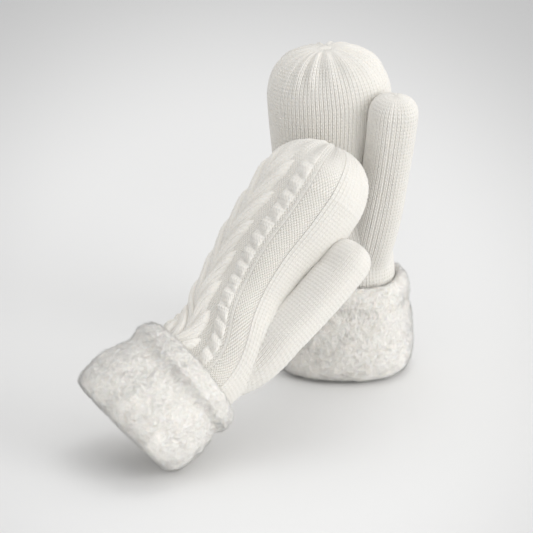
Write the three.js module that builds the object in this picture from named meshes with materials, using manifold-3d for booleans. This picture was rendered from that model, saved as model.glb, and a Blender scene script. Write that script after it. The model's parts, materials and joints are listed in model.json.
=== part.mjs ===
// A pair of knitted mittens with plush cuffs. The right mitten stands on its cuff with its palm to the
// front, and the left mitten leans back against that palm. Millimetres, +Z up.
//
// Each mitten is drawn straight, with the cuff's mouth at z = 0, the fingertips at the top, the thumb
// on +x and the palm on +y. bendWrist then bends it at the wrist, and its group places it.

import * as THREE from 'three';
import { ParametricGeometry } from 'three/addons/geometries/ParametricGeometry.js';
import { mergeVertices } from 'three/addons/utils/BufferGeometryUtils.js';
import Module from 'manifold-3d';

const wasm = await Module();
wasm.setup();

// ---------------------------------------------------------------- driving dimensions

const LENGTH = 280; // cuff mouth to fingertip, over the knit
const KNIT = 2.7; // thickness of the knitted fabric
const GAP = 0.4; // clearance between neighbouring pieces
const LINING_OUT = -2.5; // fleece lining, measured inwards from the knit's inner face
const LINING_IN = -5.2;
const KNIT_HEM = 14; // the knit's lower edge, hidden in the cuff
const FACING_TOP = 40; // the plush facing inside the cuff reaches this high
const DOME_HEIGHT = 42; // rounded fingertip end
const DOME_START = LENGTH - KNIT - DOME_HEIGHT;
const MOUTH_SOFTNESS = 75; // a slanted mouth straightens out by this height
const SQUARENESS = 2.3; // 2 is an ellipse, more is squarer

const TIP_HOLE = 6; // radius of the ring that the fingertip stitches draw in to
const THUMB_JOINT = 27; // radius of the ball at the thumb's root
const THUMB_GAP = 1.2; // clearance round that ball, so that the thumb can swing
const VALLEY_ANGLE = THREE.MathUtils.degToRad(-22); // where the cable panel meets the plain palm
const OUTER_EDGE_ANGLE = Math.PI; // the little-finger edge

const COLUMNS = 24; // facets round the hand
const ROW_HEIGHT = DOME_START / 18; // every layer has its rows of facets at the same heights
const DOME_ROWS = 5;
const THUMB_COLUMNS = 16;
const THUMB_ROWS = 8;
const THUMB_DOME_ROWS = 3;

// Half-widths of the knit's inner face at heights above the mouth.
const THUMB_EDGE = [[0, 40], [60, 38.5], [92, 37], [120, 34], [150, 28], [178, 31], [208, 40], [238, 45.5]];
const OUTER_EDGE = [[0, 40], [60, 38.5], [92, 38], [130, 43], [170, 46], [238, 46]];
const HALF_DEPTH = [[0, 29], [60, 28], [92, 28], [130, 30], [150, 29], [190, 32.5], [238, 33.5]];

// The thumb's half-widths along its centre line, and where on that line it swings.
const THUMB_WIDTH = [[0, 13], [0.35, 16], [0.65, 15.5], [1, 16.3]];
const THUMB_DEPTH = [[0, 11], [0.35, 13.5], [0.65, 13], [1, 13.5]];
const THUMB_PIVOT = 0.3;

// What differs between the two mittens. Angles in degrees.
const RIGHT = {
  name: 'right',
  palm: -1,
  cuffHeight: 82,
  thumbLine: [[14, 8, 84], [37, 27, 150], [51, 33, 229]],
  stretch: 0.955,
  wristBend: 5,
  bendTowards: 180,
  wristTwist: 0,
  position: new THREE.Vector3(0, 0, 0),
  rotation: [0, 0, -4],
  mouthSlant: 0,
};
const LEFT = {
  name: 'left',
  palm: 1,
  cuffHeight: 75,
  thumbLine: [[16, 7, 82], [41, 21, 137], [47, 27, 200]],
  stretch: 1.01,
  wristBend: 21,
  bendTowards: 207,
  wristTwist: -20,
  position: new THREE.Vector3(-173, -191.5, 31.84),
  rotation: [-37, 50, -25],
  mouthSlant: 0.2,
};

// ---------------------------------------------------------------- small helpers

// A smooth curve through [at, value] points.
function along(points, at) {
  if (at <= points[0][0]) return points[0][1];
  const last = points.length - 1;
  if (at >= points[last][0]) return points[last][1];
  const i = points.findIndex(([x]) => x > at) - 1;
  const slope = (j, k) => (points[k][1] - points[j][1]) / (points[k][0] - points[j][0]);
  const span = points[i + 1][0] - points[i][0];
  const t = (at - points[i][0]) / span;
  const leaving = slope(Math.max(i - 1, 0), i + 1) * span;
  const arriving = slope(i, Math.min(i + 2, last)) * span;
  const [y0, y1] = [points[i][1], points[i + 1][1]];
  return y0 + t * leaving + t * t * (3 * (y1 - y0) - 2 * leaving - arriving)
    + t * t * t * (2 * (y0 - y1) + leaving + arriving);
}

// A cosine or sine drawn out towards the corners of a square.
function squared(value) {
  return Math.sign(value) * Math.abs(value) ** (2 / SQUARENESS);
}

// Merges shared points and drops triangles that have shrunk to a line.
function closed(geometry) {
  geometry.deleteAttribute('normal');
  geometry.deleteAttribute('uv');
  const merged = mergeVertices(geometry, 1e-3);
  const kept = [];
  for (let i = 0; i < merged.index.count; i += 3) {
    const corners = [0, 1, 2].map((j) => merged.index.getX(i + j));
    if (new Set(corners).size === 3) kept.push(...corners);
  }
  merged.setIndex(kept);
  return merged;
}

function toSolid(geometry) {
  const merged = closed(geometry);
  return new wasm.Manifold(new wasm.Mesh({
    numProp: 3,
    vertProperties: Float32Array.from(merged.attributes.position.array),
    triVerts: Uint32Array.from(merged.index.array),
  }));
}

function toGeometry(solid) {
  const mesh = solid.getMesh();
  const geometry = new THREE.BufferGeometry();
  geometry.setAttribute('position', new THREE.BufferAttribute(mesh.vertProperties, 3));
  geometry.setIndex(new THREE.BufferAttribute(mesh.triVerts, 1));
  return geometry;
}

// ---------------------------------------------------------------- the hand and thumb as surfaces

// A point of the hand's section at height z. Growth is the distance outside the knit's inner face.
function handPoint(angle, z, growth, target, shrink = 1) {
  const thumbEdge = along(THUMB_EDGE, z);
  const outerEdge = along(OUTER_EDGE, z);
  const halfWidth = (thumbEdge + outerEdge) / 2 + growth;
  const halfDepth = along(HALF_DEPTH, z) + growth;
  const centre = (thumbEdge - outerEdge) / 2;
  target.set(
    centre + shrink * halfWidth * squared(Math.cos(angle)),
    shrink * halfDepth * squared(Math.sin(angle)),
    z,
  );
}

// The heights of the rows of facets from one height to another, both included.
function heightsBetween(from, to) {
  const heights = [from];
  for (let row = Math.floor(from / ROW_HEIGHT + 0.1) + 1; row * ROW_HEIGHT < to - 1; row += 1) {
    heights.push(row * ROW_HEIGHT);
  }
  return [...heights, to];
}

// A closed solid of the whole hand, from a flat lower end at bottom to the rounded fingertip.
function handSolid(growth, bottom) {
  const sides = heightsBetween(bottom, DOME_START);
  const last = sides.length - 1;
  const rows = 1 + last + DOME_ROWS;
  const point = (u, v, target) => {
    const angle = 2 * Math.PI * u;
    const row = v * rows;
    if (row <= 1) {
      handPoint(angle, bottom, growth, target, row);
    } else if (Math.round(row) <= 1 + last) {
      handPoint(angle, sides[Math.round(row) - 1], growth, target);
    } else {
      const latitude = Math.min(1, (row - 1 - last) / DOME_ROWS) * Math.PI / 2;
      handPoint(angle, DOME_START, growth, target, squared(Math.max(0, Math.cos(latitude))));
      target.z = DOME_START + (DOME_HEIGHT + growth) * squared(Math.sin(latitude));
    }
  };
  return toSolid(new ParametricGeometry(point, COLUMNS, rows));
}

function thumbLine(mitten) {
  const [root, bend, tip] = mitten.thumbLine.map((point) => new THREE.Vector3(...point));
  return new THREE.QuadraticBezierCurve3(root, bend, tip);
}

// A closed solid of the thumb, from its root inside the hand to its rounded tip.
function thumbSolid(mitten, growth) {
  const line = thumbLine(mitten);
  const rows = 1 + THUMB_ROWS + THUMB_DOME_ROWS;
  const point = (u, v, target) => {
    const angle = 2 * Math.PI * u;
    const row = v * rows;
    const t = THREE.MathUtils.clamp((row - 1) / THUMB_ROWS, 0, 1);
    const latitude = THREE.MathUtils.clamp((row - 1 - THUMB_ROWS) / THUMB_DOME_ROWS, 0, 1) * Math.PI / 2;
    const shrink = Math.min(row, 1) * squared(Math.max(0, Math.cos(latitude)));
    const forward = line.getTangent(t);
    const depthways = new THREE.Vector3(0, 1, 0).addScaledVector(forward, -forward.y).normalize();
    const across = new THREE.Vector3().crossVectors(depthways, forward);
    const halfWidth = along(THUMB_WIDTH, t) + growth;
    target.copy(line.getPoint(t));
    target.addScaledVector(across, shrink * halfWidth * squared(Math.cos(angle)));
    target.addScaledVector(depthways, shrink * (along(THUMB_DEPTH, t) + growth) * squared(Math.sin(angle)));
    target.addScaledVector(forward, halfWidth * squared(Math.sin(latitude)));
  };
  return toSolid(new ParametricGeometry(point, THUMB_COLUMNS, rows));
}

// The ball round the thumb's pivot and all below it. The thumb starts outside, and the hand's root for
// the thumb ends inside.
function rootSpace(mitten, radius) {
  const ball = new THREE.SphereGeometry(radius, 30, 20);
  const below = new THREE.BoxGeometry(LENGTH, LENGTH, LENGTH).translate(0, 0, -LENGTH / 2);
  const pivot = thumbLine(mitten).getPoint(THUMB_PIVOT);
  return toSolid(ball).add(toSolid(below)).translate(pivot.toArray());
}

// A layer of the hand between two growths, open at the mouth, with an open root for the thumb.
function handLayer(mitten, outer, inner, bottom) {
  const rootOutside = thumbSolid(mitten, outer).intersect(rootSpace(mitten, THUMB_JOINT));
  const rootInside = thumbSolid(mitten, inner).intersect(rootSpace(mitten, THUMB_JOINT + 2));
  const outside = handSolid(outer, bottom).add(rootOutside);
  return outside.subtract(handSolid(inner, bottom - 10)).subtract(rootInside);
}

// The same layer of the thumb, cut off by the ball at its root and clear of the hand.
function thumbLayer(mitten, outer, inner) {
  const tube = thumbSolid(mitten, outer).subtract(thumbSolid(mitten, inner));
  const handSpace = handSolid(KNIT + GAP, 0);
  return tube.subtract(rootSpace(mitten, THUMB_JOINT + THUMB_GAP)).subtract(handSpace);
}

// The space over the back of the hand, between the little-finger edge and the valley beside the thumb.
function backSpace(inset) {
  const reach = 3 * LENGTH;
  const shape = new THREE.Shape([
    new THREE.Vector2(0, -inset),
    new THREE.Vector2(-reach, -inset),
    new THREE.Vector2(-reach, -reach),
    new THREE.Vector2(reach, -reach),
    new THREE.Vector2(reach * Math.cos(VALLEY_ANGLE), reach * Math.sin(VALLEY_ANGLE) - inset),
  ]);
  return toSolid(new THREE.ExtrudeGeometry(shape, { depth: 2 * LENGTH, bevelEnabled: false }));
}

function tipPlug(radius) {
  const plug = new THREE.CylinderGeometry(radius, radius, LENGTH / 4, 16).rotateX(Math.PI / 2);
  return toSolid(plug.translate(0, 0, LENGTH));
}

// ---------------------------------------------------------------- the pieces of one mitten

// A ring that follows the hand's section, swept from a closed outline of [growth, z] points.
function ringFromOutline(outline) {
  const rows = outline.length;
  const point = (u, v, target) => {
    const row = Math.round(v * rows) % rows;
    handPoint(-2 * Math.PI * u, outline[row][1], outline[row][0], target);
  };
  return new ParametricGeometry(point, COLUMNS, rows);
}

function plushCuff(mitten) {
  const top = mitten.cuffHeight;
  return ringFromOutline([
    [KNIT + 1.9, 16], [KNIT + 1.9, top - 6], [KNIT + 3.5, top - 1], [9, top], [14, top - 5],
    [16, top - 14], [14.2, top - 23], [13.8, top - 28], [16, top - 40], [16.5, 20],
    [15, 9], [11, 2.5], [5, 0], [-4, 0], [-7, 3], [-7, 10], [-4, KNIT_HEM - GAP], [KNIT, KNIT_HEM - GAP],
  ]);
}

function cuffFacing() {
  const outer = -0.6;
  const inner = -6;
  return ringFromOutline([
    [inner, KNIT_HEM], [inner, FACING_TOP - 2], [inner + 2, FACING_TOP], [outer, FACING_TOP], [outer, KNIT_HEM],
  ]);
}

function wristElastic() {
  const low = 5 * ROW_HEIGHT;
  const high = low + ROW_HEIGHT;
  return ringFromOutline([[-1.7, low], [-1.7, high], [-0.6, high], [-0.6, low]]);
}

function cuffStitching(mitten) {
  const middle = KNIT + 0.95;
  const half = 0.55;
  const z = mitten.cuffHeight - 12;
  return ringFromOutline([[middle, z - half], [middle - half, z], [middle, z + half], [middle + half, z]]);
}

// A thin ridge of linking yarn just under the knit, up one edge of the hand.
function edgeSeam(angle) {
  const half = 0.55;
  const heights = heightsBetween(8 * ROW_HEIGHT, DOME_START);
  const steps = heights.length - 1;
  const corners = [[half, 0], [0, half], [-half, 0], [0, -half]];
  const nearby = new THREE.Vector3();
  const point = (u, v, target) => {
    const row = Math.round(v * (steps + 2));
    const z = heights[THREE.MathUtils.clamp(row - 1, 0, steps)];
    const closing = row === 0 || row === steps + 2 ? 0 : 1;
    const [out, across] = corners[Math.round(u * 4) % 4];
    handPoint(angle, z, -1.2 + closing * out, target);
    handPoint(angle + 0.01, z, -1.2, nearby);
    const along = nearby.sub(target).setZ(0).normalize();
    target.addScaledVector(along, closing * across);
  };
  return new ParametricGeometry(point, 4, steps + 2);
}

// The linking ridge round the outer half of the thumb's root, just under the knit.
function thumbSeam(mitten) {
  const line = thumbLine(mitten);
  const t = 0.36;
  const centre = line.getPoint(t);
  const forward = line.getTangent(t);
  const depthways = new THREE.Vector3(0, 1, 0).addScaledVector(forward, -forward.y).normalize();
  const across = new THREE.Vector3().crossVectors(depthways, forward);
  const points = [];
  for (let step = -3; step <= 3; step += 1) {
    const angle = step * THREE.MathUtils.degToRad(20);
    const width = (along(THUMB_WIDTH, t) - 1.2) * squared(Math.cos(angle));
    const depth = (along(THUMB_DEPTH, t) - 1.2) * squared(Math.sin(angle));
    points.push(centre.clone().addScaledVector(across, width).addScaledVector(depthways, depth));
  }
  const half = 0.5;
  const section = new THREE.Shape([[half, 0], [0, half], [-half, 0], [0, -half]]
    .map(([x, y]) => new THREE.Vector2(x, y)));
  const path = new THREE.CatmullRomCurve3(points);
  return new THREE.ExtrudeGeometry(section, { steps: 12, extrudePath: path });
}

// The drawn-in stitches and knot that close the fingertip.
function tipGather() {
  const radius = TIP_HOLE - GAP;
  const top = DOME_START + DOME_HEIGHT + KNIT;
  const outline = [[0, -3], [radius - 1, -3], [radius, -1.5], [radius - 0.6, -0.4], [2.4, -1.2], [0, -0.6]];
  const points = outline.map(([r, z]) => new THREE.Vector2(r, z));
  return new THREE.LatheGeometry(points, 12).rotateX(Math.PI / 2).translate(0, 0, top);
}

function careLabel() {
  const thickness = 0.8;
  const label = new THREE.BoxGeometry(thickness, 13, 20);
  return label.translate(-(along(OUTER_EDGE, 28) - 9), 0, 28);
}

const MATERIALS = {
  knit: { color: 0xf1ede4, roughness: 0.92, metalness: 0 },
  plush: { color: 0xf6f2ea, roughness: 0.97, metalness: 0 },
  fleece: { color: 0xefeae0, roughness: 0.95, metalness: 0 },
  yarn: { color: 0xe9e4d8, roughness: 0.85, metalness: 0 },
  elastic: { color: 0xf4f4f2, roughness: 0.6, metalness: 0 },
  satin: { color: 0xfbfaf6, roughness: 0.45, metalness: 0 },
};

// Slants the cuff's mouth, so that the lip on the back of the hand hangs lower than the palm's.
function slantMouth(mitten, point) {
  const share = 1 - THREE.MathUtils.smoothstep(point.z, 0, MOUTH_SOFTNESS);
  point.z += mitten.mouthSlant * share * point.y;
}

// Moves a straight mitten's point to where the bend and twist at the wrist put it.
function bendWrist(mitten, point) {
  const steps = 24;
  const from = 80;
  const to = 128;
  const towards = THREE.MathUtils.degToRad(mitten.bendTowards);
  const hinge = new THREE.Vector3(-Math.sin(towards), Math.cos(towards), 0);
  const share = (z) => THREE.MathUtils.smoothstep(z, from, to);
  const lean = (z) => share(z) * THREE.MathUtils.degToRad(mitten.wristBend);
  const spine = new THREE.Vector3(0, 0, Math.min(point.z, from));
  const step = new THREE.Vector3();
  const rise = Math.max(0, Math.min(point.z, to) - from) / steps;
  for (let i = 0; i < steps; i += 1) {
    step.set(0, 0, rise).applyAxisAngle(hinge, lean(from + (i + 0.5) * rise));
    spine.add(step);
  }
  const turned = new THREE.Vector3(point.x, point.y, Math.max(0, point.z - to) * mitten.stretch);
  turned.applyAxisAngle(new THREE.Vector3(0, 0, 1), share(point.z) * THREE.MathUtils.degToRad(mitten.wristTwist));
  return turned.applyAxisAngle(hinge, lean(point.z)).add(spine);
}

// Bends a straight piece, and mirrors it for the hand whose palm is on -y.
function shaped(mitten, geometry) {
  const piece = closed(geometry);
  const position = piece.attributes.position;
  const point = new THREE.Vector3();
  for (let i = 0; i < position.count; i += 1) {
    point.fromBufferAttribute(position, i);
    slantMouth(mitten, point);
    const bent = bendWrist(mitten, point);
    position.setXYZ(i, bent.x, mitten.palm * bent.y, bent.z);
  }
  if (mitten.palm < 0) {
    const index = piece.index;
    for (let i = 0; i < index.count; i += 3) {
      const swap = index.getX(i);
      index.setX(i, index.getX(i + 1));
      index.setX(i + 1, swap);
    }
  }
  return piece;
}

function makeMitten(mitten) {
  const group = new THREE.Group();
  const add = (name, material, geometry) => {
    const mesh = new THREE.Mesh(shaped(mitten, geometry), new THREE.MeshStandardMaterial(MATERIALS[material]));
    mesh.name = `${mitten.name}_${name}`;
    group.add(mesh);
  };

  const knit = handLayer(mitten, KNIT, 0, KNIT_HEM).subtract(tipPlug(TIP_HOLE));
  const lining = handLayer(mitten, LINING_OUT, LINING_IN, FACING_TOP + GAP);
  add('back_panel', 'knit', toGeometry(knit.intersect(backSpace(GAP / 2))));
  add('palm_panel', 'knit', toGeometry(knit.subtract(backSpace(-GAP / 2))));
  add('thumb_shell', 'knit', toGeometry(thumbLayer(mitten, KNIT, 0)));
  add('thumb_lining', 'fleece', toGeometry(thumbLayer(mitten, LINING_OUT, LINING_IN)));
  add('hand_lining', 'fleece', toGeometry(lining));
  add('plush_cuff', 'plush', plushCuff(mitten));
  add('cuff_facing', 'plush', cuffFacing());
  add('cuff_stitching', 'yarn', cuffStitching(mitten));
  add('wrist_elastic', 'elastic', wristElastic());
  add('outer_edge_seam', 'yarn', edgeSeam(OUTER_EDGE_ANGLE));
  add('back_seam', 'yarn', edgeSeam(VALLEY_ANGLE));
  add('thumb_seam', 'yarn', thumbSeam(mitten));
  add('tip_gather', 'yarn', tipGather());
  add('care_label', 'satin', careLabel());

  group.position.copy(mitten.position);
  group.rotation.set(...mitten.rotation.map(THREE.MathUtils.degToRad));
  return group;
}

// ---------------------------------------------------------------- the pair, centred over its own origin

const pair = new THREE.Group();
pair.add(makeMitten(RIGHT), makeMitten(LEFT));
pair.updateMatrixWorld(true);
const box = new THREE.Box3().setFromObject(pair, true);
pair.position.set(-(box.min.x + box.max.x) / 2, -(box.min.y + box.max.y) / 2, -box.min.z);

export default pair;
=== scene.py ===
"""Looks for a pair of knitted mittens with plush cuffs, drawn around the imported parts.

Each mitten is first drawn straight, in millimetres: the cuff's mouth at z = 0, the fingertips up, the
thumb on +x and the palm on +y. `placed` then bends it at the wrist and sets it in its own place.
"""

import json
import math

import bpy
import numpy as np
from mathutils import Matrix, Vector, noise


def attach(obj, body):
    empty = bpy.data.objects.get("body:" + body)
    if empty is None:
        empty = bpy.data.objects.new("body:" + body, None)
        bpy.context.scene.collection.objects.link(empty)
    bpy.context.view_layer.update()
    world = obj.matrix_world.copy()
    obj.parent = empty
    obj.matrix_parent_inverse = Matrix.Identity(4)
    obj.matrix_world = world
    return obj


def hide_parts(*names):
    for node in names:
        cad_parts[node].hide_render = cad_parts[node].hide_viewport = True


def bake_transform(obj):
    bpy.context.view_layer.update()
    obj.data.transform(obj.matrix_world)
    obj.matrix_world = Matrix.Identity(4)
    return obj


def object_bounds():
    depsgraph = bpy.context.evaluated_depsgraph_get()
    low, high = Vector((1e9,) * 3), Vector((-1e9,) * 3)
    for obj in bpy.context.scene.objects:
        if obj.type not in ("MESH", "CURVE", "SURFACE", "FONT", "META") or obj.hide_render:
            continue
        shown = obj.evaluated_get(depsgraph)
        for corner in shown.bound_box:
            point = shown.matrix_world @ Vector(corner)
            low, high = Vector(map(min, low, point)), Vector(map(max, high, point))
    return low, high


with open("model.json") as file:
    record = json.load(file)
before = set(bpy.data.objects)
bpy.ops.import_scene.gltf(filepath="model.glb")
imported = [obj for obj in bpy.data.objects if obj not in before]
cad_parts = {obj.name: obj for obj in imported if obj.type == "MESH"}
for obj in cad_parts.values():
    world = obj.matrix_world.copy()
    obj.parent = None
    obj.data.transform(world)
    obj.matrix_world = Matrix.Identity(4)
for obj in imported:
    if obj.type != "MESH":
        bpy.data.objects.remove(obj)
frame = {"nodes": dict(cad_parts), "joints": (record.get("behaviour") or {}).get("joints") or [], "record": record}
BOUNDS_AT_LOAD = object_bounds()

# ---------------------------------------------------------------- sizes, in millimetres where not said

MM = 0.001  # metres in a millimetre
FLOOR_CLEARANCE = 0.0001  # metres
FLOOR_HALF = 8.0  # metres
LENGTH = 280
KNIT = 2.7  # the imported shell's thickness, so its outer face is this far outside its inner face
GROUND = KNIT - 0.7  # the knit's height under its stitches
LEAST_GROUND = 0.2  # the knit never sinks nearer to the lining than this
KNIT_HEM = 14  # the knit's lower edge, hidden in the cuff
DOME_HEIGHT = 42
DOME_START = LENGTH - KNIT - DOME_HEIGHT
DOME_ARC = 66  # along the surface, from the dome's start to its middle
DOME_DRAWN = 0.965  # the knit stops at the gathered ring in the middle of the dome
SQUARENESS = 2.3
PLEATS = 18  # round the drawn-in fingertip
PLEAT_HEIGHT = 1.5
KNOT_RADIUS = 9.5
KNOT_SUNK = 0.4  # the knot's middle is this far under the fingertip
KNOT_FALL = 3.5  # and its edge is this much lower than its middle
VALLEY = math.radians(-22)  # where the cable panel meets the plain palm, beside the thumb
VALLEY_DEPTH = 1.7
VALLEY_WIDTH = 0.2  # radians
OUTER_EDGE = math.pi
BEND_FROM = 80  # the wrist bends from this height
BEND_TO = 128  # up to this one
MOUTH_SOFTNESS = 75  # a slanted mouth straightens out by this height

# Shares of the thumb's line, from its root inside the hand to where its tip starts to round off.
THUMB_PIVOT = 0.3
THUMB_KNIT_FROM = 0.12
THUMB_BLEND_FROM = 0.22  # a share of the thumb's line where a point is found that nothing uses
THUMB_BLEND_TO = 0.42  # and a second such share
DENT_AT = 0.93  # the soft hollow beside the thumb's tip

DENT_DEPTH = 1.8
THUMB_DOME = 27  # along the surface of the thumb's rounded tip
THUMB_DOME_DRAWN = 0.94  # the share of it that the rows of stitches cover
THUMB_FILLET = 2  # the thumb swells by a quarter of this where it meets the hand
HAND_FILLET = 3  # and the hand by a quarter of this where it meets the thumb
SEAM_HEIGHT = 1.2  # the linking ridge round the thumb's root
SEAM_WIDTH = 1.8

# The hand's reach to each side at heights up it, and the thumb's at shares of its line.
THUMB_EDGE = [(0, 40), (60, 38.5), (92, 37), (120, 34), (150, 28), (178, 31), (208, 40), (238, 45.5)]
OUTER_SIDE = [(0, 40), (60, 38.5), (92, 38), (130, 43), (170, 46), (238, 46)]
HALF_DEPTH = [(0, 29), (60, 28), (92, 28), (130, 30), (150, 29), (190, 32.5), (238, 33.5)]
THUMB_WIDTH = [(0, 13), (0.35, 16), (0.65, 15.5), (1, 16.3)]
THUMB_DEPTH = [(0, 11), (0.35, 13.5), (0.65, 13), (1, 13.5)]

COURSE = 3.0  # height of one row of stitches
SAMPLES_PER_COURSE = 5
SAMPLES_PER_WALE = 6
THUMB_WALES = 40
PALM_WALES = 46
COLUMN_RISE = 0.75  # plain knit: how high the rounded column stands
LEG_RISE = 0.45  # and on it the stitch's two legs
STRAND_RISE = 0.45  # and on them the strands that slant across them
PURL_RISE = 2.2

# The back's columns of stitches, counted from the thumb side: PURL_BAND to DEEP_PURL are the columns
# where those patterns end. The big cable fills the rest, and all of it is mirrored about MIDDLE.
BACK_WALES = 46
PURL_BAND = 7
RIB = 8
NARROW_PURL = 9
ROPE = 14
DEEP_PURL = 17
MIDDLE = 25.5
PURL_SINK = 0.7  # the purl ground lies this much lower than plain knit
CABLE_SINK = 0.7  # and this much lower still beside the big cable
CABLE_STRANDS = 0.75  # height of the stitches on a cable, as a share of plain knit's
ROPE_REPEAT = 12.5
ROPE_SLANT = 0.15  # share of a repeat
ROPE_SWAY = 0.9  # how many columns the rope's strands sway sideways
ROPE_BASE = 1.3
ROPE_LUMP = 1.8
LOBE_REPEAT = 26.5
LOBE_RISE = 36  # how far a lobe climbs from the middle to its tip
LOBE_CREST = 0.72  # share of a lobe's height where it stands proudest
LOBE_BASE = 0.8
LOBE_BULGE = 3.6
LOBE_STRANDS = 4  # in each lobe

CUFF_ROWS = 150
CUFF_COLUMNS = 360
PLUSH_INSET = 1.6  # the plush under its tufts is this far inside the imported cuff
LOWEST_PLUSH = 0.05  # height over the straight mitten's mouth
HAIR_COUNT = 110000  # on each cuff
HAIR_RADIUS = 0.1
SHORTEST_HAIR = 1.2
LONGEST_HAIR = 2.8
HAIR_ROOT = 0.5  # how deep a hair is set in the plush
NOISE_SEED = 1  # without one, the plush would differ from run to run

# Lengths in millimetres and angles in degrees. "palm" is 1 or -1, the y side that the palm is on, and
# "turned" is about x, y and z.
MITTENS = {
    "right": {
        "palm": -1,
        "cuff_height": 82,
        "cuff_crease": 0.8,
        "thumb_line": [(14, 8, 84), (37, 27, 150), (51, 33, 229)],
        "stretch": 0.955,
        "bend": 5,
        "bend_towards": 180,
        "twist": 0,
        "turned": (0, 0, -4),
        "mouth_slant": 0,
    },
    "left": {
        "palm": 1,
        "cuff_height": 75,
        "cuff_crease": 3,
        "thumb_line": [(16, 7, 82), (41, 21, 137), (47, 27, 200)],
        "stretch": 1.01,
        "bend": 21,
        "bend_towards": 207,
        "twist": -20,
        "turned": (-37, 50, -25),
        "mouth_slant": 0.2,
    },
}

# ---------------------------------------------------------------- studio and camera, in metres

# The floor's colour is painted light: pale near the mittens as a painted pool of light, grey far away as painted
# shade.
FLOOR_PAINTED_LIGHT = (0.82, 0.82, 0.817, 1)
FLOOR_PAINTED_SHADE = (0.56, 0.56, 0.56, 1)
FLOOR_FADES_FROM = 0.4
FLOOR_FADES_TO = 1.0
FLOOR_SQUEEZE = (2.4, 1, 0)  # the painted pool of light on the floor is this much narrower than it is deep
FLOOR_SHIFT = (0, -0.2, 0)
WORLD_STRENGTH = 0.84
CAMERA_ELEVATION = math.radians(23)
CAMERA_DISTANCE = 4.6
CAMERA_LENS = 400  # millimetres
CAMERA_SENSOR = 36  # millimetres
AIM_RIGHT = 0.014  # of the middle of the pair
AIM_HEIGHT = 0.127


# ---------------------------------------------------------------- small helpers


def smoothstep(low, high, at):
    share = np.clip((at - low) / (high - low), 0, 1)
    return share * share * (3 - 2 * share)


def along(points, at):
    """A smooth curve through (at, value) points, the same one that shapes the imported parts."""
    xs, ys = np.array(points, float).T
    at = np.clip(at, xs[0], xs[-1])
    i = np.clip(np.searchsorted(xs, at, side="right") - 1, 0, len(xs) - 2)
    before = np.maximum(i - 1, 0)
    after = np.minimum(i + 2, len(xs) - 1)
    span = xs[i + 1] - xs[i]
    t = (at - xs[i]) / span
    leaving = (ys[i + 1] - ys[before]) / (xs[i + 1] - xs[before]) * span
    arriving = (ys[after] - ys[i]) / (xs[after] - xs[i]) * span
    rise = ys[i + 1] - ys[i]
    squares = 3 * rise - 2 * leaving - arriving
    cubes = leaving + arriving - 2 * rise
    return ys[i] + t * leaving + t**2 * squares + t**3 * cubes


def squared(value):
    """A cosine or sine drawn out towards the corners of a square."""
    return np.sign(value) * np.abs(value) ** (2 / SQUARENESS)


def unit(vectors):
    return vectors / np.maximum(np.linalg.norm(vectors, axis=-1, keepdims=True), 1e-9)


def turn_about(axis, angle, vectors):
    """The vectors turned about a unit axis, each by its own angle."""
    cosine = np.cos(angle)[..., None]
    sine = np.sin(angle)[..., None]
    lengthways = (vectors @ axis)[..., None]
    return vectors * cosine + np.cross(axis, vectors) * sine + axis * lengthways * (1 - cosine)


def turn_matrix(degrees):
    """Turning about z, then y, then x."""
    cx, cy, cz = (math.cos(math.radians(angle)) for angle in degrees)
    sx, sy, sz = (math.sin(math.radians(angle)) for angle in degrees)
    about_x = np.array([[1, 0, 0], [0, cx, -sx], [0, sx, cx]])
    about_y = np.array([[cy, 0, sy], [0, 1, 0], [-sy, 0, cy]])
    about_z = np.array([[cz, -sz, 0], [sz, cz, 0], [0, 0, 1]])
    return about_x @ about_y @ about_z


# ---------------------------------------------------------------- the straight mitten's surfaces


def hand_surface(angle, climb, growth):
    """Points at an angle round the hand and a climb up its side and on over the fingertip's dome."""
    latitude = np.clip((climb - DOME_START) / DOME_ARC, 0, 1) * math.pi / 2
    z = np.minimum(climb, DOME_START)
    shrink = squared(np.cos(latitude))
    thumb_side = along(THUMB_EDGE, z)
    outer_side = along(OUTER_SIDE, z)
    half_width = (thumb_side + outer_side) / 2 + growth
    half_depth = along(HALF_DEPTH, z) + growth
    x = (thumb_side - outer_side) / 2 + shrink * half_width * squared(np.cos(angle))
    y = shrink * half_depth * squared(np.sin(angle))
    height = z + (DOME_HEIGHT + growth) * squared(np.sin(latitude))
    return np.stack(np.broadcast_arrays(x, y, height), axis=-1)


def distance_outside_hand(points):
    """Roughly how far each point is outside the hand's knit, and negative inside it."""
    z = np.clip(points[..., 2], 0, DOME_START)
    thumb_side = along(THUMB_EDGE, z)
    outer_side = along(OUTER_SIDE, z)
    half_width = (thumb_side + outer_side) / 2 + KNIT
    half_depth = along(HALF_DEPTH, z) + KNIT
    across = np.abs(points[..., 0] - (thumb_side - outer_side) / 2) / half_width
    through = np.abs(points[..., 1]) / half_depth
    reach = (across**SQUARENESS + through**SQUARENESS) ** (1 / SQUARENESS)
    radius = np.hypot(points[..., 0], points[..., 1]) / np.maximum(reach, 1e-6)
    return (reach - 1) * radius


def thumb_frames(mitten, t):
    """The thumb's centre line at shares t, with its forward, across and depthways directions."""
    root, bend, tip = (np.array(p, float) for p in mitten["thumb_line"])
    t = np.asarray(t, float)[..., None]
    centre = (1 - t) ** 2 * root + 2 * t * (1 - t) * bend + t**2 * tip
    forward = unit((1 - t) * (bend - root) + t * (tip - bend))
    depthways = unit(np.array([0.0, 1.0, 0.0]) - forward * forward[..., 1:2])
    return centre, forward, np.cross(depthways, forward), depthways


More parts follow.
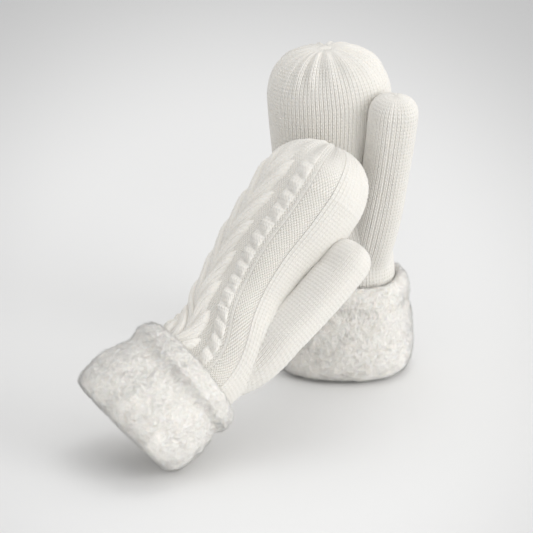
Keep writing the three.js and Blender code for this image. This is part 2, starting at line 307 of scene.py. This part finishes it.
def distance_outside_thumb(mitten, points):
    """Roughly how far each point is outside the thumb's knit, and negative inside it."""
    nearest = np.full(points.shape[:-1], 1e9)
    for t in np.linspace(0, 1, 36):
        centre, _, across, depthways = thumb_frames(mitten, t)
        offset = points - centre
        half_width = float(along(THUMB_WIDTH, t)) + KNIT
        half_depth = float(along(THUMB_DEPTH, t)) + KNIT
        side = offset @ across
        deep = offset @ depthways
        length = np.linalg.norm(offset, axis=-1)
        sideways = np.maximum(np.hypot(side, deep), 1e-6)
        flat = np.hypot(side / half_width, deep / half_depth) / sideways
        nearest = np.minimum(nearest, length - 1 / np.maximum(flat, 1 / half_width))
    return nearest


def slant_mouth(mitten, points):
    """The cuff's mouth slants, so that the lip on the back of the hand hangs lower than the palm's."""
    lifted = points.copy()
    share = 1 - smoothstep(0, MOUTH_SOFTNESS, points[..., 2])
    lifted[..., 2] += mitten["mouth_slant"] * share * points[..., 1]
    return lifted


def bend_at_wrist(mitten, points):
    """The part above the cuff leans over on an arc, and is twisted and stretched a little."""
    towards = math.radians(mitten["bend_towards"])
    hinge = np.array([-math.sin(towards), math.cos(towards), 0])
    heights = np.linspace(BEND_FROM, BEND_TO, 97)
    leans = smoothstep(BEND_FROM, BEND_TO, heights) * math.radians(mitten["bend"])
    middle = (leans[1:] + leans[:-1]) / 2
    step = heights[1] - heights[0]
    sideways = np.concatenate([[0], np.cumsum(np.sin(middle)) * step])
    upwards = BEND_FROM + np.concatenate([[0], np.cumsum(np.cos(middle)) * step])
    z = points[..., 2]
    moved = np.interp(z, heights, sideways)
    spine_height = np.where(z < BEND_FROM, z, np.interp(z, heights, upwards))
    spine = np.stack([moved * math.cos(towards), moved * math.sin(towards), spine_height], axis=-1)
    share = smoothstep(BEND_FROM, BEND_TO, z)
    above = np.maximum(0, z - BEND_TO) * mitten["stretch"]
    upright = np.stack([points[..., 0], points[..., 1], above], axis=-1)
    twisted = turn_about(np.array([0.0, 0.0, 1.0]), share * math.radians(mitten["twist"]), upright)
    return turn_about(hinge, share * math.radians(mitten["bend"]), twisted) + spine


def turned(mitten, points):
    """The straight mitten's points bent and turned, but not yet moved to the mitten's place."""
    bent = bend_at_wrist(mitten, slant_mouth(mitten, np.asarray(points, float)))
    bent = bent * np.array([1, mitten["palm"], 1])
    return bent @ turn_matrix(mitten["turned"]).T


def find_place(name, mitten):
    """Where the mitten's own origin is, in metres, from where the record puts its thumb's hinge."""
    joint = next(j for j in frame["joints"] if j["name"] == f"{name}_thumb_swing")
    pivot = thumb_frames(mitten, THUMB_PIVOT)[0]
    return np.array(joint["pos_m"]) - turned(mitten, pivot) * MM


def placed(mitten, points):
    """The straight mitten's points, in millimetres, as points on or over the floor, in metres."""
    points = turned(mitten, points) * MM + mitten["place"]
    points[..., 2] = np.maximum(points[..., 2], FLOOR_CLEARANCE)
    return points


# ---------------------------------------------------------------- meshes


def make_mesh(name, points, faces, material):
    """A smooth mesh from points in metres and faces, all with the same number of corners."""
    mesh = bpy.data.meshes.new(name)
    faces = np.asarray(faces, np.int32)
    corners = faces.shape[1]
    mesh.vertices.add(len(points))
    mesh.vertices.foreach_set("co", np.asarray(points, np.float32).ravel())
    mesh.loops.add(faces.size)
    mesh.loops.foreach_set("vertex_index", faces.ravel())
    mesh.polygons.add(len(faces))
    mesh.polygons.foreach_set("loop_start", np.arange(0, faces.size, corners, dtype=np.int32))
    mesh.polygons.foreach_set("loop_total", np.full(len(faces), corners, np.int32))
    mesh.polygons.foreach_set("use_smooth", np.ones(len(faces), bool))
    mesh.materials.append(material)
    mesh.update(calc_edges=True)
    mesh.validate()
    piece = bpy.data.objects.new(name, mesh)
    bpy.context.scene.collection.objects.link(piece)
    return piece


def grid_faces(rows, columns, closed_round=False, flipped=False):
    """Quads over a grid of rows and columns of points."""
    spans = columns if closed_round else columns - 1
    row, column = np.meshgrid(np.arange(rows - 1), np.arange(spans), indexing="ij")
    following = (column + 1) % columns
    here = row * columns
    above = here + columns
    quads = np.stack([here + column, here + following, above + following, above + column], axis=-1)
    quads = quads.reshape(-1, 4)
    return quads[:, ::-1] if flipped else quads


def fan_faces(columns, first, middle):
    """Triangles from a closed ring of points, numbered from first, to the one point in its middle."""
    ring = np.arange(columns)
    return np.stack([first + ring, first + (ring + 1) % columns, np.full(columns, middle)], axis=-1)


def grid_piece(name, mitten, grid, material, closed_round=False, inside_out=False):
    """One mesh from a grid of the straight mitten's points, with its faces outwards."""
    rows, columns = grid.shape[:2]
    flipped = (mitten["palm"] < 0) != inside_out
    faces = grid_faces(rows, columns, closed_round, flipped)
    return make_mesh(name, placed(mitten, grid).reshape(-1, 3), faces, material)


def outward_normals(grid, closed_round=False):
    if closed_round:
        across = np.roll(grid, -1, axis=1) - np.roll(grid, 1, axis=1)
    else:
        across = np.gradient(grid, axis=1)
    return unit(np.cross(across, np.gradient(grid, axis=0)))


# ---------------------------------------------------------------- stitches, as heights in millimetres


def knit_stitches(wale, course):
    """Columns of nested Vs. Whole numbers of wale fall in the grooves between columns."""
    across = np.abs(wale - np.floor(wale) - 0.5) * 2  # 0 in a column's middle, 1 at its edges
    strand = 0.5 + 0.5 * np.cos(2 * math.pi * (course - 0.75 * across))
    leg = np.sin(math.pi * np.clip(across, 0, 1)) ** 0.7
    column = 1 - across**4
    return COLUMN_RISE * column + leg * (LEG_RISE + STRAND_RISE * strand)


def purl_stitches(wale, course):
    """Rows of small bumps, each row set half a stitch over from the next."""
    pits = 0.5 - 0.5 * np.cos(2 * math.pi * wale) * np.cos(2 * math.pi * course)
    return PURL_RISE * (1 - pits**1.8)


# ---------------------------------------------------------------- the cable panel


def rope_height(x, climb):
    """A two-strand rope, as slanting rounded lumps. x is -1 to 1 across it."""
    phase = climb / ROPE_REPEAT - ROPE_SLANT * np.sin(np.clip(x, -1, 1) * math.pi / 2)
    lump = (0.5 - 0.5 * np.cos(2 * math.pi * phase)) ** 0.6
    rounded = np.clip(1 - x**4, 0, 1) ** 0.5
    return rounded * (ROPE_BASE + ROPE_LUMP * lump)


def lobe_height(x, climb):
    """Stacked pairs of lobes that climb outwards from the middle, where x is 0, to x = 1."""
    climbed = (climb - LOBE_RISE * np.sin(np.clip(x, 0, 1) * math.pi / 2)) / LOBE_REPEAT
    share = climbed - np.floor(climbed)  # 0 at a lobe's lower edge, 1 at its upper edge
    lower = np.sin(np.clip(share / LOBE_CREST, 0, 1) * math.pi / 2)
    upper = np.cos(np.clip((share - LOBE_CREST) / (1 - LOBE_CREST), 0, 1) * math.pi / 2) ** 0.5
    bulge = np.where(share < LOBE_CREST, lower, upper)
    edge = 0.74 + 0.26 * smoothstep(0, 0.7, share)  # a lobe widens from its lower edge upwards
    inside = np.sqrt(np.clip(1 - (x / edge) ** 6, 0, 1))
    groove = 1 - 0.3 * np.exp(-((x / 0.12) ** 2))  # down the cable's middle
    return (LOBE_BASE + LOBE_BULGE * bulge) * inside * groove, inside, share


def cable_panel(wale, climb):
    """Height of the back's pattern over the bottom of its purl pits."""
    from_side = np.minimum(wale, 2 * MIDDLE - wale)
    course = climb / COURSE
    sunk = CABLE_SINK * smoothstep(ROPE - 1, ROPE + 1, from_side)
    purl = purl_stitches(wale, course) - sunk
    height = purl.copy()

    rib = (from_side >= PURL_BAND) & (from_side < RIB)
    height[rib] = (PURL_SINK + knit_stitches(wale, course))[rib]

    rope_middle = (NARROW_PURL + ROPE) / 2
    rope_half = (ROPE - NARROW_PURL) / 2
    x = (from_side - rope_middle) / rope_half
    rope = np.abs(x) < 1
    slanted = knit_stitches(wale + ROPE_SWAY * np.sin(2 * math.pi * climb / ROPE_REPEAT), course)
    rope_total = rope_height(x, climb) + CABLE_STRANDS * slanted
    height[rope] = np.maximum(rope_total, purl * 0.6)[rope]

    x = np.abs(wale - MIDDLE) / (MIDDLE - DEEP_PURL)
    lobe, inside, share = lobe_height(x, climb)
    strands = knit_stitches(share * LOBE_STRANDS, course + 0.5 * x)
    lobe_total = lobe + CABLE_STRANDS * strands * inside
    cable = x < 1
    height[cable] = np.maximum(lobe_total, purl)[cable]
    return height


def sample_climbs(mitten):
    """Heights of the grid's rows: coarse inside the cuff, fine above it and over the dome."""
    fine_from = mitten["cuff_height"] - 14
    step = COURSE / SAMPLES_PER_COURSE
    end = DOME_START + DOME_ARC * DOME_DRAWN
    hidden = np.arange(KNIT_HEM, fine_from, COURSE)
    seen = np.arange(fine_from, end, step)
    return np.concatenate([hidden, seen, [end]])


def angles_at_shares(first, last, shares, climbs):
    """For each height, the angles that split the section's length between two angles into shares."""
    fine = np.linspace(first, last, 240)
    section = hand_surface(fine[None, :], np.minimum(climbs, DOME_START)[:, None], KNIT)
    steps = np.linalg.norm(np.diff(section, axis=1), axis=-1)
    lengths = np.concatenate([np.zeros((len(climbs), 1)), np.cumsum(steps, axis=1)], axis=1)
    return np.array([np.interp(shares * row[-1], row, fine) for row in lengths])


def gather_folds(angle, climb):
    """Pleats that run out from the drawn-in fingertip."""
    over_dome = (climb - DOME_START) / DOME_ARC
    pleats = np.cos(angle * PLEATS + 1.3 * np.sin(angle * 3)) * (0.7 + 0.3 * np.sin(angle * 4 + 1))
    folded = smoothstep(0.15, 0.5, over_dome) * (1 - smoothstep(0.75, 0.93, over_dome))
    return PLEAT_HEIGHT * folded * pleats - 0.8 * smoothstep(0.85, 0.96, over_dome)


def soft_unevenness(angle, climb):
    """Slow waves of a filled fabric, under a millimetre, that settle towards the fingertip."""
    waves = 0.3 * np.sin(climb / 19 + 2.1 * np.sin(angle)) + 0.25 * np.sin(climb / 11 + angle * 2.3)
    return waves * (1 - smoothstep(DOME_START, DOME_START + DOME_ARC * 0.8, climb))


def knit_growth(angle, climb):
    """How far a panel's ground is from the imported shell's inner face, before its stitches."""
    valley_side = np.abs((angle - VALLEY + math.pi) % (2 * math.pi) - math.pi)
    valley_seen = smoothstep(70, 100, climb) * (1 - smoothstep(DOME_START, DOME_START + 30, climb))
    valley = VALLEY_DEPTH * np.exp(-((valley_side / VALLEY_WIDTH) ** 2)) * valley_seen
    ground = GROUND + gather_folds(angle, climb) + soft_unevenness(angle, climb) - valley
    return np.maximum(ground, LEAST_GROUND)


def knit_panel(name, mitten, first, last, wales, pattern, material):
    """One knitted panel of the hand, between two angles round it, with its stitches as real relief."""
    climbs = sample_climbs(mitten)
    wale_at = np.linspace(0, wales, wales * SAMPLES_PER_WALE + 1)
    angles = angles_at_shares(first, last, wale_at / wales, climbs)
    climb = np.broadcast_to(climbs[:, None], angles.shape)
    wale = np.broadcast_to(wale_at[None, :], angles.shape)
    base = hand_surface(angles, climb, 0)
    normals = outward_normals(base) * (1 if last > first else -1)

    over_dome = (climb - DOME_START) / DOME_ARC
    squeezed = 1 - 0.85 * smoothstep(0.45, 0.92, over_dome)  # stitches flatten as they draw in
    height = knit_growth(angles, climb) + pattern(wale, climb) * squeezed
    height += thumb_root_swell(mitten, base + normals * KNIT)
    grid = base + normals * height[..., None]
    return grid_piece(name, mitten, grid, material, inside_out=last < first)


def fillet_swell(outside, fillet):
    """How far a surface rises where it is within a fillet of the surface that it meets."""
    return np.clip(fillet - np.abs(outside), 0, None) ** 2 / (4 * fillet)


def thumb_root_swell(mitten, surface):
    """The hand rises in a fillet and a seam's small ridge round the thumb, as far up as its root."""
    z = surface[..., 2]
    outside = distance_outside_thumb(mitten, surface)
    ridge = SEAM_HEIGHT * np.exp(-((outside / SEAM_WIDTH) ** 2)) * smoothstep(110, 125, z)
    return (fillet_swell(outside, HAND_FILLET) + ridge) * (1 - smoothstep(138, 152, z))


def plain_pattern(wale, climb):
    return knit_stitches(wale, climb / COURSE)


def back_pattern(wale, climb):
    """The cable panel, which gives way to plain knit over the fingertip."""
    fading = smoothstep(DOME_START + 2, DOME_START + 34, climb)
    cables = cable_panel(wale, climb) - PURL_SINK
    return cables * (1 - fading) + fading * plain_pattern(wale, climb)


# ---------------------------------------------------------------- the thumb


def thumb_piece(name, mitten, material):
    """The thumb's knit, a tube from inside the hand to its rounded tip."""
    line = thumb_frames(mitten, np.linspace(0, 1, 60))[0]
    length = np.linalg.norm(np.diff(line, axis=0), axis=1).sum()
    last = length + THUMB_DOME * THUMB_DOME_DRAWN
    climbs = np.arange(THUMB_KNIT_FROM * length, last, COURSE / SAMPLES_PER_COURSE)
    t = np.clip(climbs / length, 0, 1)
    latitude = np.clip((climbs - length) / THUMB_DOME, 0, 1) * math.pi / 2
    columns = THUMB_WALES * SAMPLES_PER_WALE
    angle = np.arange(columns) * 2 * math.pi / columns

    centre, forward, across, depthways = (v[:, None, :] for v in thumb_frames(mitten, t))
    shrink = squared(np.cos(latitude))[:, None, None]
    half_width = (along(THUMB_WIDTH, t) + GROUND)[:, None, None]
    half_depth = (along(THUMB_DEPTH, t) + GROUND)[:, None, None]
    grid = (centre + across * shrink * half_width * squared(np.cos(angle))[None, :, None]
            + depthways * shrink * half_depth * squared(np.sin(angle))[None, :, None]
            + forward * half_width * squared(np.sin(latitude))[:, None, None])

    wale = angle[None, :] * THUMB_WALES / (2 * math.pi)
    course = climbs[:, None] / COURSE
    closing = smoothstep(0.35, 0.95, latitude / (math.pi / 2))[:, None]
    height = knit_stitches(wale, course) * (1 - 0.8 * closing)
    along_thumb = np.exp(-(((climbs - DENT_AT * length) / 8) ** 2))[:, None]
    round_thumb = np.exp(-(((angle - 1.5 * math.pi) / 0.6) ** 2))
    dent = along_thumb * round_thumb
    height = np.maximum(height - DENT_DEPTH * dent, LEAST_GROUND - GROUND)
    height = height + fillet_swell(distance_outside_hand(grid), THUMB_FILLET)
    grid = grid + outward_normals(grid, closed_round=True) * height[..., None]

    rows = len(climbs)
    top = grid[-1].mean(axis=0)
    points = np.concatenate([grid.reshape(-1, 3), top[None]])
    faces = grid_faces(rows, columns, closed_round=True)
    cap = fan_faces(columns, (rows - 1) * columns, rows * columns)
    return tube_with_cap(name, mitten, points, faces, cap, material)


def tube_with_cap(name, mitten, points, quads, triangles, material):
    """One mesh of quads and a fan of triangles, turned over for the mirrored hand."""
    halves = np.concatenate([quads[:, [0, 1, 2]], quads[:, [0, 2, 3]], triangles])
    if mitten["palm"] < 0:
        halves = halves[:, ::-1]
    return make_mesh(name, placed(mitten, points), halves, material)


# ---------------------------------------------------------------- plush


def cuff_outline(top, crease):
    """The cuff's section, from inside its mouth, up its outside and over its top to the knit."""
    mouth = [(-6.5, 26), (-7, 12), (-6.5, 5), (-3, 1.2), (4, 0.6), (11, 3), (15, 9.5), (16.5, 20)]
    side = [(16.3, top - 42), (15.5 - crease / 2, top - 30), (14.8 - crease, top - 22), (15, top - 14)]
    rim = [(13.5, top - 5), (9, top - 0.5), (4.5, top - 0.5)]
    at_knit = [(KNIT - 0.6, top - 4), (KNIT - 2.5, top - 9)]
    return np.array(mouth + side + rim + at_knit)


def smooth_outline(points, count):
    """Evenly spaced points along a rounded line through the given ones."""
    steps = np.concatenate([[0], np.cumsum(np.linalg.norm(np.diff(points, axis=0), axis=1))])
    fine = np.linspace(0, steps[-1], 600)
    line = np.stack([along(np.stack([steps, points[:, k]], axis=1), fine) for k in (0, 1)], axis=-1)
    lengths = np.concatenate([[0], np.cumsum(np.linalg.norm(np.diff(line, axis=0), axis=1))])
    at = np.linspace(0, lengths[-1], count)
    return np.stack([np.interp(at, lengths, line[:, k]) for k in (0, 1)], axis=-1)


def plush_relief(points, seed):
    """Height of the pile's clumps at each point: soft mounds broken into small curled locks."""
    shift = Vector((seed * 13.7, seed * 5.1, seed * 9.3))
    heights = np.empty(len(points))
    for i, p in enumerate(points):
        at = Vector(p) + shift
        bent = at + noise.noise_vector(at * 0.13) * 3.0
        mounds = noise.noise(at * 0.05)
        tufts = noise.noise(bent * 0.2)
        locks = 1 - abs(noise.noise(bent * 0.34)) * 2
        fuzz = noise.noise(bent * 0.8)
        heights[i] = 1.0 * mounds + 1.0 * tufts + 0.5 * locks + 0.7 * fuzz
    return heights


def plush_cuff(name, mitten, material):
    """The turned-up band and its facing, with the points and normals that its hairs grow from."""
    outline = smooth_outline(cuff_outline(mitten["cuff_height"], mitten["cuff_crease"]), CUFF_ROWS)
    growth = outline[:, 0][:, None]
    z = outline[:, 1][:, None]
    shares = np.arange(CUFF_COLUMNS) / CUFF_COLUMNS
    even = angles_at_shares(0, 2 * math.pi, shares, np.array([30.0]))[0]
    angle = even[None, :] + 0 * z
    base = hand_surface(angle, z + 0 * angle, growth)
    normals = outward_normals(base, closed_round=True)
    relief = plush_relief(base.reshape(-1, 3), mitten["seed"]).reshape(base.shape[:2])
    low = smoothstep(6, 26, z)
    height = relief * (0.55 + 0.45 * low) - PLUSH_INSET
    grid = base + normals * height[..., None]
    grid[..., 2] = np.maximum(grid[..., 2], LOWEST_PLUSH)
    return grid_piece(name, mitten, grid, material, closed_round=True), grid, normals


def pile_strands(name, mitten, grid, normals, material):
    """Short leaning hairs over the plush, three-sided and pointed, so that its outline is soft."""
    rng = np.random.default_rng(mitten["seed"])
    rows, columns = grid.shape[:2]
    row = rng.integers(1, rows - 1, HAIR_COUNT)
    column = rng.integers(0, columns, HAIR_COUNT)
    root = grid[row, column]
    out = normals[row, column]
    combed = np.array([noise.noise_vector(Vector(p) * 0.09) for p in root])
    ruffled = rng.normal(size=(HAIR_COUNT, 3)) * 0.5
    lean = unit(3.0 * combed + ruffled + np.array([0, 0, -0.35]))
    lean = unit(lean - out * (lean * out).sum(axis=1, keepdims=True))
    length = rng.uniform(SHORTEST_HAIR, LONGEST_HAIR, (HAIR_COUNT, 1))
    side = np.cross(out, lean)
    tip = root + lean * length * 0.45 + out * length * 0.85
    tip[:, 2] = np.maximum(tip[:, 2], LOWEST_PLUSH)
    corners = []
    for turn in (0, 2 * math.pi / 3, 4 * math.pi / 3):
        towards = side * math.cos(turn) + out * math.sin(turn)
        corners.append(root + HAIR_RADIUS * towards - out * HAIR_ROOT)
    points = np.stack([*corners, tip], axis=1).reshape(-1, 3)
    sides = np.array([[0, 1, 3], [1, 2, 3], [2, 0, 3]])
    faces = (np.arange(HAIR_COUNT)[:, None, None] * 4 + sides[None]).reshape(-1, 3)
    return make_mesh(name, placed(mitten, points), faces, material)


# ---------------------------------------------------------------- small pieces


def tip_knot(name, mitten, material):
    """The drawn-in stitches that close the fingertip, as a dimpled disc of gathered yarn."""
    columns = 72
    rows = 14
    angle = np.arange(columns)[None, :] * 2 * math.pi / columns
    share = np.linspace(0.04, 1, rows)[:, None]
    radius = KNOT_RADIUS * share
    pleats = 0.2 * np.cos(angle * 12) * share
    depth = -KNOT_SUNK - KNOT_FALL * smoothstep(0.4, 1, share) + pleats
    top = DOME_START + DOME_HEIGHT + GROUND
    centre = float(along(THUMB_EDGE, DOME_START) - along(OUTER_SIDE, DOME_START)) / 2
    x = centre + radius * np.cos(angle)
    y = 0.8 * radius * np.sin(angle)
    grid = np.stack([x, y, top + depth], axis=-1)
    middle = np.array([[centre, 0, top - KNOT_SUNK]])
    points = np.concatenate([grid.reshape(-1, 3), middle])
    faces = grid_faces(rows, columns, closed_round=True, flipped=True)
    return tube_with_cap(name, mitten, points, faces, fan_faces(columns, 0, rows * columns), material)


# ---------------------------------------------------------------- materials


def fabric(name, colour, speckle, speckle_size, fuzz_size, fuzz_depth, sheen, glow):
    """A matt wool or pile: faint specks of colour, fine fuzz as bump, sheen and some light let in."""
    material = bpy.data.materials.new(name)
    material.use_nodes = True
    nodes = material.node_tree.nodes
    links = material.node_tree.links
    surface = nodes["Principled BSDF"]
    surface.inputs["Roughness"].default_value = 0.95
    surface.inputs["Sheen Weight"].default_value = sheen
    surface.inputs["Sheen Roughness"].default_value = 0.5
    surface.inputs["Specular IOR Level"].default_value = 0.2
    surface.inputs["Subsurface Weight"].default_value = glow
    surface.inputs["Subsurface Radius"].default_value = (1.0, 0.85, 0.7)
    surface.inputs["Subsurface Scale"].default_value = 0.003
    place = nodes.new("ShaderNodeTexCoord")
    spots = nodes.new("ShaderNodeTexNoise")
    spots.inputs["Scale"].default_value = speckle_size
    spots.inputs["Detail"].default_value = 2
    ramp = nodes.new("ShaderNodeValToRGB")
    dark, pale = ramp.color_ramp.elements
    dark.position = 0.3
    dark.color = (*[channel * (1 - speckle) for channel in colour], 1)
    pale.position = 0.7
    pale.color = (*colour, 1)
    links.new(place.outputs["Object"], spots.inputs["Vector"])
    links.new(spots.outputs["Fac"], ramp.inputs["Fac"])
    links.new(ramp.outputs["Color"], surface.inputs["Base Color"])
    fuzz = nodes.new("ShaderNodeTexNoise")
    fuzz.inputs["Scale"].default_value = fuzz_size
    fuzz.inputs["Detail"].default_value = 3
    bump = nodes.new("ShaderNodeBump")
    bump.inputs["Strength"].default_value = 0.6
    bump.inputs["Distance"].default_value = fuzz_depth
    links.new(place.outputs["Object"], fuzz.inputs["Vector"])
    links.new(fuzz.outputs["Fac"], bump.inputs["Height"])
    links.new(bump.outputs["Normal"], surface.inputs["Normal"])
    return material


CREAM = (0.86, 0.835, 0.785)
# Each has a colour, how dark its specks are, the scales of its specks and its fuzz, the fuzz's depth in
# metres, its sheen and how much light it lets in.
MATERIALS = {
    "cable_knit": fabric("cable_wool", CREAM, 0.05, 900, 1600, 0.0005, 0.25, 0.12),
    "plain_knit": fabric("plain_wool", CREAM, 0.05, 900, 1600, 0.0005, 0.25, 0.12),
    "plush": fabric("plush_pile", (0.945, 0.92, 0.87), 0.07, 420, 1300, 0.0008, 0.7, 0.35),
    "fleece_lining": fabric("fleece", (0.84, 0.815, 0.76), 0.06, 500, 1500, 0.0006, 0.3, 0.1),
    "yarn": fabric("linking_yarn", (0.85, 0.825, 0.77), 0.05, 700, 1800, 0.0003, 0.25, 0.1),
    "elastic": fabric("woven_elastic", (0.86, 0.86, 0.84), 0.04, 600, 2200, 0.0002, 0.1, 0.05),
    "satin_label": fabric("satin", (0.88, 0.87, 0.85), 0.03, 400, 2500, 0.0001, 0.2, 0.05),
}

# ---------------------------------------------------------------- the two mittens


def ride(piece, body):
    """The piece moves with a body."""
    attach(piece, body)


def build_hand(name, mitten):
    """The knitted back and palm, and the stitches that close the fingertip."""
    body = f"{name}_mitten"
    back = knit_panel(f"{name}_back_knit", mitten, VALLEY, -OUTER_EDGE, BACK_WALES, back_pattern,
                      MATERIALS["cable_knit"])
    ride(back, body)
    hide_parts(f"{name}_back_panel")
    palm = knit_panel(f"{name}_palm_knit", mitten, VALLEY, OUTER_EDGE, PALM_WALES, plain_pattern,
                      MATERIALS["plain_knit"])
    ride(palm, body)
    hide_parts(f"{name}_palm_panel")
    knot = tip_knot(f"{name}_tip_stitches", mitten, MATERIALS["yarn"])
    ride(knot, body)
    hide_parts(f"{name}_tip_gather")


def build_thumb(name, mitten):
    """The thumb's knit, with the imported shell hidden and its placement baked into its mesh."""
    thumb = thumb_piece(f"{name}_thumb_knit", mitten, MATERIALS["plain_knit"])
    line = placed(mitten, thumb_frames(mitten, np.array([THUMB_BLEND_FROM, THUMB_BLEND_TO]))[0])
    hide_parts(f"{name}_thumb_shell")
    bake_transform(thumb)


def build_cuff(name, mitten):
    """The plush cuff and its hairs."""
    body = f"{name}_mitten"
    cuff, grid, normals = plush_cuff(f"{name}_cuff_plush", mitten, MATERIALS["plush"])
    ride(cuff, body)
    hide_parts(f"{name}_plush_cuff", f"{name}_cuff_facing")
    pile = pile_strands(f"{name}_cuff_pile", mitten, grid, normals, MATERIALS["plush"])
    ride(pile, body)


def dress_carried_over(name):
    """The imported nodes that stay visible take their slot's material."""
    slots = {row["node"]: row["material_slot"] for row in frame["record"]["subparts"]}
    for node, piece in frame["nodes"].items():
        if node.startswith(name) and not piece.hide_render:
            piece.data.materials.clear()
            piece.data.materials.append(MATERIALS[slots[node]])


noise.seed_set(NOISE_SEED)
for seed, (name, mitten) in enumerate(MITTENS.items(), start=1):
    mitten["seed"] = seed
    mitten["place"] = find_place(name, mitten)
    build_hand(name, mitten)
    build_thumb(name, mitten)
    build_cuff(name, mitten)
    dress_carried_over(name)

# ---------------------------------------------------------------- studio


def studio_floor():
    """A wide floor, painted pale round the mittens as a pool of light and painted grey far from them as shade."""
    points = [(x * FLOOR_HALF, y * FLOOR_HALF, 0) for x, y in ((-1, -1), (1, -1), (1, 1), (-1, 1))]
    material = bpy.data.materials.new("paper_painted_light_pool")
    material.use_nodes = True
    nodes = material.node_tree.nodes
    links = material.node_tree.links
    surface = nodes["Principled BSDF"]
    surface.inputs["Roughness"].default_value = 0.9
    surface.inputs["Specular IOR Level"].default_value = 0.1
    place = nodes.new("ShaderNodeTexCoord")
    spread = nodes.new("ShaderNodeVectorMath")
    spread.operation = "MULTIPLY_ADD"
    spread.inputs[1].default_value = FLOOR_SQUEEZE
    spread.inputs[2].default_value = FLOOR_SHIFT
    away = nodes.new("ShaderNodeVectorMath")
    away.operation = "LENGTH"
    ramp = nodes.new("ShaderNodeMapRange")
    ramp.interpolation_type = "SMOOTHSTEP"
    ramp.inputs["From Min"].default_value = FLOOR_FADES_FROM
    ramp.inputs["From Max"].default_value = FLOOR_FADES_TO
    # This mix paints the light falloff: the painted pool of light near the mittens fades into painted shade far
    # away.
    mix = nodes.new("ShaderNodeMix")
    mix.data_type = "RGBA"
    mix.inputs["A"].default_value = FLOOR_PAINTED_LIGHT
    mix.inputs["B"].default_value = FLOOR_PAINTED_SHADE
    links.new(place.outputs["Object"], spread.inputs[0])
    links.new(spread.outputs["Vector"], away.inputs[0])
    links.new(away.outputs["Value"], ramp.inputs["Value"])
    links.new(ramp.outputs["Result"], mix.inputs["Factor"])
    links.new(mix.outputs["Result"], surface.inputs["Base Color"])
    floor = make_mesh("studio_floor", points, [[0, 1, 2, 3]], material)


def soft_light(name, position, size, power, aim):
    """A round lamp, with its size in metres and its power in watts, that points at its aim."""
    data = bpy.data.lights.new(name, "AREA")
    data.shape = "DISK"
    data.size = size
    data.energy = power
    light = bpy.data.objects.new(name, data)
    light.location = position
    light.rotation_mode = "QUATERNION"
    light.rotation_quaternion = (Vector(aim) - Vector(position)).to_track_quat("-Z", "Y")
    bpy.context.scene.collection.objects.link(light)


def studio():
    """The floor, four lamps and an even white surround."""
    studio_floor()
    low, high = BOUNDS_AT_LOAD
    middle = (low + high) / 2
    soft_light("key_right", middle + Vector((2.0, -1.5, 0.95)), 1.6, 21, middle)
    soft_light("top", middle + Vector((0.3, 0.2, 2.2)), 1.2, 5, middle)
    soft_light("fill_left", middle + Vector((-2.2, -2.0, 1.0)), 2.0, 2, middle)
    soft_light("fill_right", middle + Vector((1.7, -0.7, 0.2)), 1.2, 6, middle)
    world = bpy.data.worlds.new("studio_air")
    world.use_nodes = True
    surround = world.node_tree.nodes["Background"]
    surround.inputs["Color"].default_value = (1, 1, 1, 1)
    surround.inputs["Strength"].default_value = WORLD_STRENGTH
    bpy.context.scene.world = world
    bpy.context.scene.view_settings.view_transform = "Standard"


def camera():
    """A long lens, from the front and a little above."""
    low, high = BOUNDS_AT_LOAD
    middle = (low + high) / 2
    target = Vector((middle.x + AIM_RIGHT, middle.y, AIM_HEIGHT))
    back = Vector((0, -math.cos(CAMERA_ELEVATION), math.sin(CAMERA_ELEVATION)))
    data = bpy.data.cameras.new("camera")
    data.lens = CAMERA_LENS
    data.sensor_width = CAMERA_SENSOR
    eye = bpy.data.objects.new("camera", data)
    eye.location = target + back * CAMERA_DISTANCE
    eye.rotation_mode = "QUATERNION"
    eye.rotation_quaternion = (-back).to_track_quat("-Z", "Y")
    bpy.context.scene.collection.objects.link(eye)
    bpy.context.scene.camera = eye


studio()
camera()
